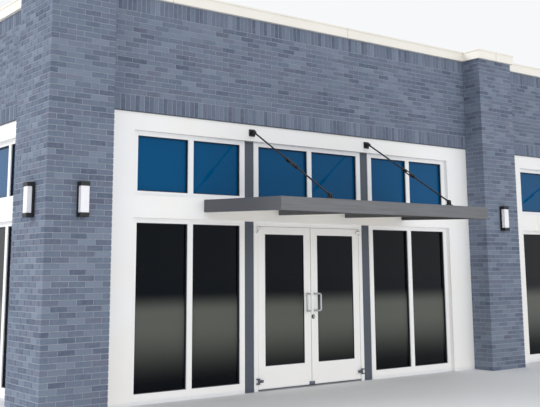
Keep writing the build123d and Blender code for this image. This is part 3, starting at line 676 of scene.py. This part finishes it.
class Bricklayer:
    """Lays bricks course by course into one mesh, each with its own tone, round a core of mortar."""

    def __init__(self, bricks, chance):
        self.bricks = bricks
        self.chance = chance
        self.mesh = bmesh.new()
        self.mesh.faces.layers.float.new("tone")
        self.laid = bpy.data.meshes.new("course")
        self.start_course()

    def start_course(self):
        """Starts a mesh of its own, because the mesh operators slow down as a mesh grows."""
        self.course = bmesh.new()
        self.tone = self.course.faces.layers.float.new("tone")

    def add_course(self):
        self.course.to_mesh(self.laid)
        self.course.free()
        self.mesh.from_mesh(self.laid)
        self.start_course()

    def lay(self, low, high):
        slack = self.bricks.unevenness
        low = low + Vector([self.chance.uniform(0, slack) for _ in range(3)])
        high = high - Vector([self.chance.uniform(0, slack) for _ in range(3)])
        tone = self.chance.random()
        for face in add_block(self.course, low, high):
            face[self.tone] = tone

    def finish_course(self, planes):
        """Wears the edges of the faces that lie in the given planes, and adds the course to the rest."""
        slack = 2 * self.bricks.unevenness
        edges = {}
        for face in self.course.faces:
            middle = face.calc_center_median()
            for axis, level in planes:
                if abs(face.normal[axis]) > FACING and abs(middle[axis] - level) < slack:
                    edges.update(dict.fromkeys(face.edges))
        round_edges(self.course, list(edges), self.bricks.arris)
        self.add_course()

    def core(self, low, high, room, roof_level):
        """Adds the mortar core, with plaster on its room side and roofing above the roof."""
        add_block(self.course, low, high)
        for axis, level in ((0, -room.x), (0, room.x), (1, -room.y), (1, room.y), (2, roof_level)):
            if low[axis] < level < high[axis]:
                across = Vector([float(number == axis) for number in range(3)])
                whole = [*self.course.verts, *self.course.edges, *self.course.faces]
                bmesh.ops.bisect_plane(self.course, geom=whole, plane_co=level * across, plane_no=across)
        slack = 2 * self.bricks.joint_depth
        for face in self.course.faces:
            middle = face.calc_center_median()
            inside = abs(middle.x) < room.x + slack and abs(middle.y) < room.y + slack
            lining = ROOFING if middle.z > roof_level else PLASTER
            face.material_index = lining if inside else MORTAR
            face[self.tone] = 0.5
        self.add_course()

    def finish(self):
        """Gives the finished mesh."""
        self.course.free()
        bpy.data.meshes.remove(self.laid)
        return self.mesh

    def column(self, low, high, wall_faces):
        """Lays courses round a pier, leaving out the bricks that stay behind the walls' faces."""
        bricks = self.bricks
        numbers = [round((high[axis] - low[axis] + bricks.joint) / bricks.stretcher) for axis in (0, 1)]
        units = [(high[axis] - low[axis] + bricks.joint) / numbers[axis] for axis in (0, 1)]
        headers = [unit / 2 - bricks.joint for unit in units]
        pitch = (high.z - low.z) / bricks.courses
        for course in range(bricks.courses):
            bottom = low.z + course * pitch
            top = bottom + pitch - bricks.joint
            for axis in (0, 1):
                other = 1 - axis
                full = (course + axis) % 2 == 0
                for start, end in course_spans(low[axis], high[axis], numbers[axis], bricks.joint, full):
                    for near in (low[other], high[other] - headers[other]):
                        corner = wall_point(axis, start, near, bottom)
                        far = wall_point(axis, end, near + headers[other], top)
                        if any(max(abs(corner[side]), abs(far[side])) > wall_faces[side] for side in (0, 1)):
                            self.lay(corner, far)
            self.finish_course([(0, low.x), (0, high.x), (1, low.y), (1, high.y)])

    def wall(self, low, high, brick_top):
        """Lays a panel of stretchers between a soldier course at its foot and one at its top."""
        bricks = self.bricks
        along, across, outward = wall_axes(low, high)
        face = low[across] if outward < 0 else high[across]
        back = face - outward * bricks.header
        pitch = brick_top / bricks.courses
        first = ceil(low.z / pitch) + bricks.soldier_courses
        last = bricks.courses - bricks.soldier_courses

        def lay_row(spans, bottom, top):
            for start, end in spans:
                corner = wall_point(along, start, min(face, back), bottom)
                self.lay(corner, wall_point(along, end, max(face, back), top))
            self.finish_course([(across, face)])

        run = (low[along], high[along])
        whole = run[1] - run[0] + bricks.joint
        soldiers = course_spans(*run, round(whole / pitch), bricks.joint, True)
        lay_row(soldiers, low.z, first * pitch - bricks.joint)
        lay_row(soldiers, last * pitch, high.z - bricks.joint)
        number = round(whole / bricks.stretcher)
        half = whole / number / 2 - bricks.joint
        for course in range(first, last):
            full = course % 2 == 0
            spans = course_spans(*run, number, bricks.joint, full)
            if not full:
                spans += [(run[0], run[0] + half), (run[1] - half, run[1])]
            lay_row(spans, course * pitch, (course + 1) * pitch - bricks.joint)


class CLINIC_OT_brickwork(bpy.types.Operator):
    """Lays the bricks of the piers, the pilasters and the walls over the bays"""

    bl_idname = "clinic.brickwork"
    bl_label = "Lay the brickwork"

    def execute(self, context):
        bricks = context.scene.clinic_bricks
        shell = context.scene.clinic_shell
        finishes = [
            velour_clay_brick(bricks), sanded_mortar(bricks), painted_plaster(shell), roofing_membrane(shell)
        ]
        chance = random.Random(bricks.seed)
        front_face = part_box("front_surround_heads")[0].y
        side_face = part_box("side_and_rear_surround_heads")[1].x
        wall_faces = Vector((side_face, -front_face))
        front_back = max(high.y for low, high in solid_boxes("front_brick_spandrels"))
        side_back = max(low.x for low, high in solid_boxes("side_and_rear_brick_spandrels"))
        room = Vector((side_back, -front_back))
        roof_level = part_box("roof_deck")[1].z
        brick_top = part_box("pilasters")[1].z
        corners = ("front_left", "front_right", "rear_left", "rear_right")
        groups = {f"{corner}_pier_bricks": f"{corner}_corner_pier" for corner in corners}
        groups["pilaster_bricks"] = "pilasters"
        groups["front_wall_bricks"] = "front_brick_spandrels"
        groups["side_and_rear_wall_bricks"] = "side_and_rear_brick_spandrels"
        sunk = bricks.joint_depth
        for name, node in groups.items():
            layer = Bricklayer(bricks, chance)
            for low, high in solid_boxes(node):
                core_low, core_high = low.copy(), high.copy()
                if "wall" in name:
                    layer.wall(low, high, brick_top)
                    across, outward = wall_axes(low, high)[1:]
                    (core_low if outward < 0 else core_high)[across] -= outward * sunk
                else:
                    layer.column(low, high, wall_faces)
                    for axis in (0, 1):
                        core_low[axis] += sunk
                        core_high[axis] -= sunk
                layer.core(core_low, core_high, room, roof_level)
            make_piece(name, layer.finish(), finishes, "building", [node])
        return {"FINISHED"}


class CLINIC_OT_shell(bpy.types.Operator):
    """Finishes the surrounds, lintels, coping, roof and floor"""

    bl_idname = "clinic.shell"
    bl_label = "Finish the surrounds, coping, roof and floor"

    def execute(self, context):
        shell = context.scene.clinic_shell
        render = painted_render(shell)
        for side in ("front", "side_and_rear"):
            dress(render, *(f"{side}_surround_{part}" for part in ("jambs", "heads", "mid_panels")))
            soften(shell.arris, f"{side}_surround_mid_panels")
        copings = [f"{side}_coping" for side in ("front", "right", "rear", "left")]
        dress(coil_coated_sheet(shell), *copings)
        soften(shell.arris, *copings)
        dress(powder_coat("painted_steel_lintel", shell.lintel, roughness=0.55).material, "steel_lintels")
        dress(roofing_membrane(shell), "roof_deck")
        dress(trowelled_concrete(shell), "floor_slab")
        return {"FINISHED"}


# Glazing


def add_bead(mesh, low, high, width, reach):
    """Adds a mitred bead round the edge of a pane, standing outwards from it."""
    along, across, outward = wall_axes(low, high)
    middle = (low + high) / 2
    middle[across] = low[across] if outward < 0 else high[across]
    axes = Matrix.Identity(3)
    turn = Matrix((axes[along], axes[2], axes[across])).transposed().to_4x4()
    size = Matrix.Diagonal((high[along] - low[along], high.z - low.z, 1, 1))
    place = Matrix.Translation(middle) @ turn @ size
    pane = faces_at(bmesh.ops.create_grid(mesh, x_segments=1, y_segments=1, size=0.5, matrix=place)["verts"])
    ring = bmesh.ops.inset_region(mesh, faces=pane, thickness=width, use_boundary=True, use_even_offset=True)
    bmesh.ops.delete(mesh, geom=pane, context="FACES_ONLY")
    grown = bmesh.ops.extrude_face_region(mesh, geom=ring["faces"])
    step = Vector((0, 0, 0))
    step[across] = outward * reach
    moved = [item for item in grown["geom"] if isinstance(item, bmesh.types.BMVert)]
    bmesh.ops.translate(mesh, verts=moved, vec=step)


class CLINIC_OT_glazing(bpy.types.Operator):
    """Finishes the window frames, posts and panes, and fits the glazing beads"""

    bl_idname = "clinic.glazing"
    bl_label = "Glaze the windows"

    def execute(self, context):
        glazing = context.scene.clinic_glazing
        white = powder_coat("white_powder_coated_aluminium", glazing.frame_white).material
        slate = powder_coat("slate_powder_coated_steel", glazing.post, roughness=0.45).material
        glass = coated_glass(glazing)
        rubber_and_shade = powder_coat("black_glazing_rubber_and_painted_shade", glazing.bead, roughness=0.6).material
        for side in ("front", "side_and_rear"):
            frames, posts, panes = f"{side}_window_frames", f"{side}_posts", f"{side}_window_glass"
            dress(white, frames)
            dress(slate, posts)
            dress(glass, panes)
            soften(glazing.frame_arris, frames, posts)
            mesh = bmesh.new()
            # dark rubber beads, which also paint the shade in the frames' reveals
            for low, high in solid_boxes(panes):
                add_bead(mesh, low, high, glazing.bead_width, glazing.bead_reach)
            make_piece(f"{side}_glazing_beads", mesh, [rubber_and_shade], "building")
        return {"FINISHED"}


# Doors


def bend_bar(mesh, route, radius, bend, sides, steps):
    """Runs a round bar along a route of straight runs, with a smooth bend at each corner."""
    points = [Vector(point) for point in route]
    ways = [(after - before).normalized() for before, after in zip(points, points[1:])]
    turn = ways[0].to_track_quat("Z", "Y").to_matrix().to_4x4()
    made = bmesh.ops.create_circle(
        mesh, cap_ends=True, segments=sides, radius=radius, matrix=Matrix.Translation(points[0]) @ turn
    )
    ring = edges_at(made["verts"])
    at = points[0]
    for number, way in enumerate(ways):
        last = number == len(ways) - 1
        end = points[number + 1] - (Vector((0, 0, 0)) if last else way * bend)
        grown = bmesh.ops.extrude_edge_only(mesh, edges=ring)["geom"]
        moved = [item for item in grown if isinstance(item, bmesh.types.BMVert)]
        bmesh.ops.translate(mesh, verts=moved, vec=end - at)
        ring = [item for item in grown if isinstance(item, bmesh.types.BMEdge)]
        ring = [edge for edge in ring if all(vert in moved for vert in edge.verts)]
        at = end
        if not last:
            after = ways[number + 1]
            spun = bmesh.ops.spin(
                mesh, geom=ring, cent=at + after * bend, axis=way.cross(after), dvec=(0, 0, 0),
                angle=radians(90), steps=steps, use_merge=False, use_duplicate=False,
            )
            ring = [item for item in spun["geom_last"] if isinstance(item, bmesh.types.BMEdge)]
            at = at + after * bend + way * bend
    bmesh.ops.edgeloop_fill(mesh, edges=ring)


def add_rose(mesh, x, face, z, radius, height):
    """Adds a round rose with a soft rim, on a face that looks towards -Y."""
    place = Matrix.Translation((x, face - height / 2, z)) @ Matrix.Rotation(radians(90), 4, "X")
    edges = add_bar(mesh, ROSE_SIDES, radius, height, place)
    rim = [edge for edge in edges if all(vert.co.y < face - height / 2 for vert in edge.verts)]
    round_edges(mesh, rim, height / 3, segments=2)


def add_pull(mesh, low, high, hardware, inner_x, outer_x):
    """Adds a pull bent from one bar, which turns aside so that its grip clears the other leaf's."""
    bar, rose = hardware.pull_bar, hardware.pull_rose
    face, grip = high.y, low.y + bar
    bottom, top = low.z + rose, high.z - rose
    route = (
        (inner_x, face, bottom), (inner_x, grip, bottom), (outer_x, grip, bottom),
        (outer_x, grip, top), (inner_x, grip, top), (inner_x, face, top),
    )
    bend_bar(mesh, route, bar, hardware.pull_bend, sides=20, steps=8)
    for z in (bottom, top):
        add_rose(mesh, inner_x, face, z, rose, hardware.pull_rose_height)


class CLINIC_OT_doors(bpy.types.Operator):
    """Finishes the entrance doors and their frame, and fits the pulls, foot bolts, keyway and beads"""

    bl_idname = "clinic.doors"
    bl_label = "Finish the entrance doors"

    def execute(self, context):
        glazing = context.scene.clinic_glazing
        hardware = context.scene.clinic_hardware
        leaves = ["left_door_leaf", "right_door_leaf"]
        coat = door_coat(glazing, hardware.pivot_level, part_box("door_jambs")[0].y)
        dress(bpy.data.materials["white_powder_coated_aluminium"], "door_jambs", "door_head")
        dress(coat, "door_pivots", *leaves)
        soften(glazing.frame_arris, "door_jambs", "door_head", *leaves)
        dress(bpy.data.materials["solar_control_glass"], "left_door_glass", "right_door_glass")
        rubber_and_shade = bpy.data.materials["black_glazing_rubber_and_painted_shade"]
        steel = brushed_metal(
            "satin_stainless_steel", hardware.pull, roughness=0.3, lines=(0.005, 0.005, 0.00066667)
        )
        paint = powder_coat("painted_foot_bolt", hardware.bolt_paint, roughness=0.45).material
        rose, bar = hardware.pull_rose, hardware.pull_bar
        size, reach = hardware.bolt_width, hardware.bolt_reach
        for side in ("left", "right"):
            body = f"{side}_door"
            beads = bmesh.new()
            # the door beads too are rubber and painted shade of the reveal
            add_bead(beads, *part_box(f"{side}_door_glass"), glazing.bead_width, glazing.bead_width)
            make_piece(f"{side}_door_beads", beads, [rubber_and_shade], body)

            plain = f"{side}_door_pull"
            low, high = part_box(plain)
            across = (high.x - rose, low.x + bar) if side == "left" else (low.x + rose, high.x - bar)
            pull = bmesh.new()
            add_pull(pull, low, high, hardware, *across)
            make_piece(f"{side}_bent_pull", pull, [steel], body, [plain], smooth=True)

            leaf_low, leaf_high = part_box(f"{side}_door_leaf")
            edge = leaf_high.x - size if side == "left" else leaf_low.x
            corner = Vector((edge, high.y - reach, leaf_low.z))
            bolt = bmesh.new()
            add_block(bolt, corner, corner + Vector((size, reach, size)))
            round_edges(bolt, bolt.edges[:], reach / 4, segments=2)
            make_piece(f"{side}_foot_bolt", bolt, [paint], body, smooth=True)

        low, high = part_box("door_lock")
        dress(plated_lock(hardware, low.y + hardware.cylinder_reach), "door_lock")
        front = Vector(((low.x + high.x) / 2, low.y, (low.z + high.z) / 2))
        wide, tall = hardware.keyway_width / 2, hardware.keyway_height / 2
        # Painted shade: the keyway is a dark block on the cylinder's face that stands for the shade in its
        # slot
        keyway = bmesh.new()
        add_block(
            keyway, front - Vector((wide, hardware.keyway_lip, tall)),
            front + Vector((wide, hardware.keyway_depth, tall)),
        )
        make_piece("lock_keyway", keyway, [rubber_and_shade], "right_door")
        mill = brushed_metal(
            "mill_finished_aluminium", hardware.threshold, roughness=0.4, lines=(0.033333, 0.0005, 0.0005)
        )
        dress(mill, "door_threshold")
        return {"FINISHED"}


# Canopies


def add_bolt(mesh, place, radius, height):
    """Adds a hexagon head with a chamfered top on a round washer, standing along the place's z."""
    washer, washer_radius = height / 4, 1.35 * radius
    add_bar(mesh, WASHER_SIDES, washer_radius, washer, place @ Matrix.Translation((0, 0, washer / 2)))
    middle = place @ Matrix.Translation((0, 0, washer + height / 2))
    edges = add_bar(mesh, HEXAGON, radius, height, middle)
    top = place @ Vector((0, 0, washer + height))
    crown = [edge for edge in edges if all((vert.co - top).length < 1.01 * radius for vert in edge.verts)]
    round_edges(mesh, crown, radius / 7)


class CLINIC_OT_canopies(bpy.types.Operator):
    """Paints the canopies and their tie rods, and fits the bolts and jam nuts"""

    bl_idname = "clinic.canopies"
    bl_label = "Finish the canopies"

    def execute(self, context):
        steel = context.scene.clinic_steel
        beams = weathered_paint("painted_canopy_beams", steel.channel, steel)
        dress(beams, "canopy_beams", "canopy_ledgers")
        # the fascias' lighter grey is painted light, over the same streaked paint
        dress(weathered_paint("painted_canopy_fascia_painted_lighter", steel.fascia_painted_lighter, steel), "canopy_fascias")
        dress(steel_deck(steel), "canopy_decks")
        black = powder_coat("black_painted_steel", steel.rod, roughness=0.4).material
        dress(black, "tie_rods", "tie_rod_brackets")
        soften(steel.arris, "canopy_fascias", "canopy_beams", "tie_rod_brackets")

        bolts = bmesh.new()
        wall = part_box("tie_rod_brackets")[1].y
        inset = steel.plate_bolt_inset
        for low, high in solid_boxes("tie_rod_brackets"):
            on_wall = high.y > wall - steel.wall_plate / 2
            turn = Matrix.Rotation(radians(90), 4, "X") if on_wall else Matrix.Identity(4)
            for x in (low.x + inset, high.x - inset):
                if on_wall:
                    places = [(x, wall - steel.wall_plate, z) for z in (low.z + inset, high.z - inset)]
                else:
                    places = [(x, (low.y + high.y) / 2, low.z + steel.foot_plate)]
                for place in places:
                    add_bolt(bolts, Matrix.Translation(place) @ turn, steel.bolt_radius, steel.bolt_height)
        make_piece("tie_rod_bolts", bolts, [black], "building", smooth=True)

        nuts = bmesh.new()
        for low, high in solid_boxes("tie_rods"):
            x, eye = (low.x + high.x) / 2, steel.rod_eye
            top = Vector((x, high.y - eye, high.z - eye))
            run = Vector((x, low.y + eye, low.z + eye)) - top
            turn = run.to_track_quat("Z", "Y").to_matrix().to_4x4()
            reach = (steel.turnbuckle + steel.nut_height) / 2
            for side in (-1, 1):
                place = top + run * steel.turnbuckle_share + run.normalized() * side * reach
                middle = Matrix.Translation(place) @ turn
                edges = add_bar(nuts, HEXAGON, steel.nut_radius, steel.nut_height, middle)
                round_edges(nuts, edges, steel.nut_radius / 10)
        make_piece("turnbuckle_nuts", nuts, [black], "building", smooth=True)
        return {"FINISHED"}


class CLINIC_OT_wall_lights(bpy.types.Operator):
    """Finishes the wall lights"""

    bl_idname = "clinic.wall_lights"
    bl_label = "Finish the wall lights"

    def execute(self, context):
        hardware = context.scene.clinic_hardware
        casting = powder_coat("black_powder_coated_casting", hardware.sconce, roughness=0.45).material
        dress(casting, "sconce_bodies")
        dress(opal_acrylic(hardware), "sconce_lenses")
        soften(hardware.sconce_arris, "sconce_bodies", "sconce_lenses")
        return {"FINISHED"}


# Studio


def add_studio_floor(stage):
    """Pale seamless studio floor, rolled matt: nearly even, with the faintest clouds."""
    mesh = bmesh.new()
    bmesh.ops.create_grid(mesh, x_segments=1, y_segments=1, size=stage.floor_size / 2)
    data = bpy.data.meshes.new("studio_floor")
    mesh.to_mesh(data)
    mesh.free()
    data.materials.append(grained_finish(
        "pale_studio_floor", stage.floor, stage.background, grain=0.05, depth=0.0005, roughness=0.8,
        patch=4.0, share=0.08,
    ).material)
    add_object("studio_floor", data)


def even_daylight(stage):
    """Makes a world of even light, which shows as the pale background."""
    world = bpy.data.worlds.new("studio")
    world.use_nodes = True
    tree = world.node_tree
    tree.nodes.clear()
    even = add(tree, "ShaderNodeBackground", {"Color": stage.background, "Strength": stage.daylight})
    seen = add(tree, "ShaderNodeBackground", {"Color": stage.background, "Strength": 1.0})
    rays = add(tree, "ShaderNodeLightPath").outputs
    shown = rays["Is Camera Ray"]
    for ray in ("Is Glossy Ray", "Is Transmission Ray"):
        shown = add(tree, "ShaderNodeMath", {0: shown, 1: rays[ray]}, operation="MAXIMUM")
    mixed = add(tree, "ShaderNodeMixShader", {0: shown, 1: even, 2: seen})
    add(tree, "ShaderNodeOutputWorld", {"Surface": mixed})
    return world


def add_lamps(stage):
    """Adds two broad lamps, and a warm light that comes back from the ground."""
    lamps = (
        ("key", stage.key, stage.key_direction, stage.key_spread),
        ("fill", stage.fill, stage.fill_direction, stage.fill_spread),
    )
    for name, energy, way, spread in lamps:
        lamp = bpy.data.lights.new(name, "SUN")
        lamp.energy = energy
        lamp.angle = spread
        add_object(name, lamp).rotation_euler = Vector(way).to_track_quat("Z", "Y").to_euler()

    glow = bpy.data.lights.new("bounce", "AREA")
    glow.size = stage.bounce_size
    glow.energy = stage.bounce * pi * stage.bounce_size ** 2
    glow.color = stage.bounce_colour[:3]
    light = add_object("bounce", glow)
    light.location.z = stage.bounce_level
    light.rotation_euler.x = pi
    light.visible_camera = False
    light.visible_glossy = False


def add_camera(stage):
    """Adds the camera at the photograph's viewing angle."""
    lens = bpy.data.cameras.new("photo")
    lens.sensor_width = stage.sensor
    lens.lens = stage.focal_length
    lens.shift_y = stage.shift
    lens.clip_end = stage.camera_reach
    camera = add_object("photo", lens)
    heading = Matrix.Rotation(-stage.camera_heading, 3, "Z")
    pitch = Matrix.Rotation(pi / 2 + stage.camera_pitch, 3, "X")
    roll = Matrix.Rotation(stage.camera_roll, 3, "Z")
    camera.matrix_world = Matrix.LocRotScale(Vector(stage.camera_place), heading @ pitch @ roll, None)
    bpy.context.scene.camera = camera


class CLINIC_OT_stage(bpy.types.Operator):
    """Sets the floor, the light, the background and the camera"""

    bl_idname = "clinic.stage"
    bl_label = "Set the stage"

    def execute(self, context):
        stage = context.scene.clinic_stage
        add_studio_floor(stage)
        context.scene.world = even_daylight(stage)
        add_lamps(stage)
        add_camera(stage)
        context.scene.view_settings.view_transform = "Standard"
        return {"FINISHED"}


OPERATORS = (
    CLINIC_OT_brickwork,
    CLINIC_OT_shell,
    CLINIC_OT_glazing,
    CLINIC_OT_doors,
    CLINIC_OT_canopies,
    CLINIC_OT_wall_lights,
    CLINIC_OT_stage,
)


class CLINIC_PT_panel(bpy.types.Panel):
    """Lists the clinic's operators"""

    bl_idname = "CLINIC_PT_panel"
    bl_label = "Brick clinic"
    bl_space_type = "VIEW_3D"
    bl_region_type = "UI"
    bl_category = "Clinic"

    def draw(self, context):
        for operator in OPERATORS:
            self.layout.operator(operator.bl_idname)


def register():
    for name, group in SETTINGS.items():
        bpy.utils.register_class(group)
        setattr(bpy.types.Scene, name, bpy.props.PointerProperty(type=group))
    for operator in OPERATORS:
        bpy.utils.register_class(operator)
    bpy.utils.register_class(CLINIC_PT_panel)


def unregister():
    bpy.utils.unregister_class(CLINIC_PT_panel)
    for operator in reversed(OPERATORS):
        bpy.utils.unregister_class(operator)
    for name, group in reversed(SETTINGS.items()):
        delattr(bpy.types.Scene, name)
        bpy.utils.unregister_class(group)


def main():
    register()
    bpy.ops.clinic.brickwork()
    bpy.ops.clinic.shell()
    bpy.ops.clinic.glazing()
    bpy.ops.clinic.doors()
    bpy.ops.clinic.canopies()
    bpy.ops.clinic.wall_lights()
    bpy.ops.clinic.stage()


if __name__ == "__main__":
    main()
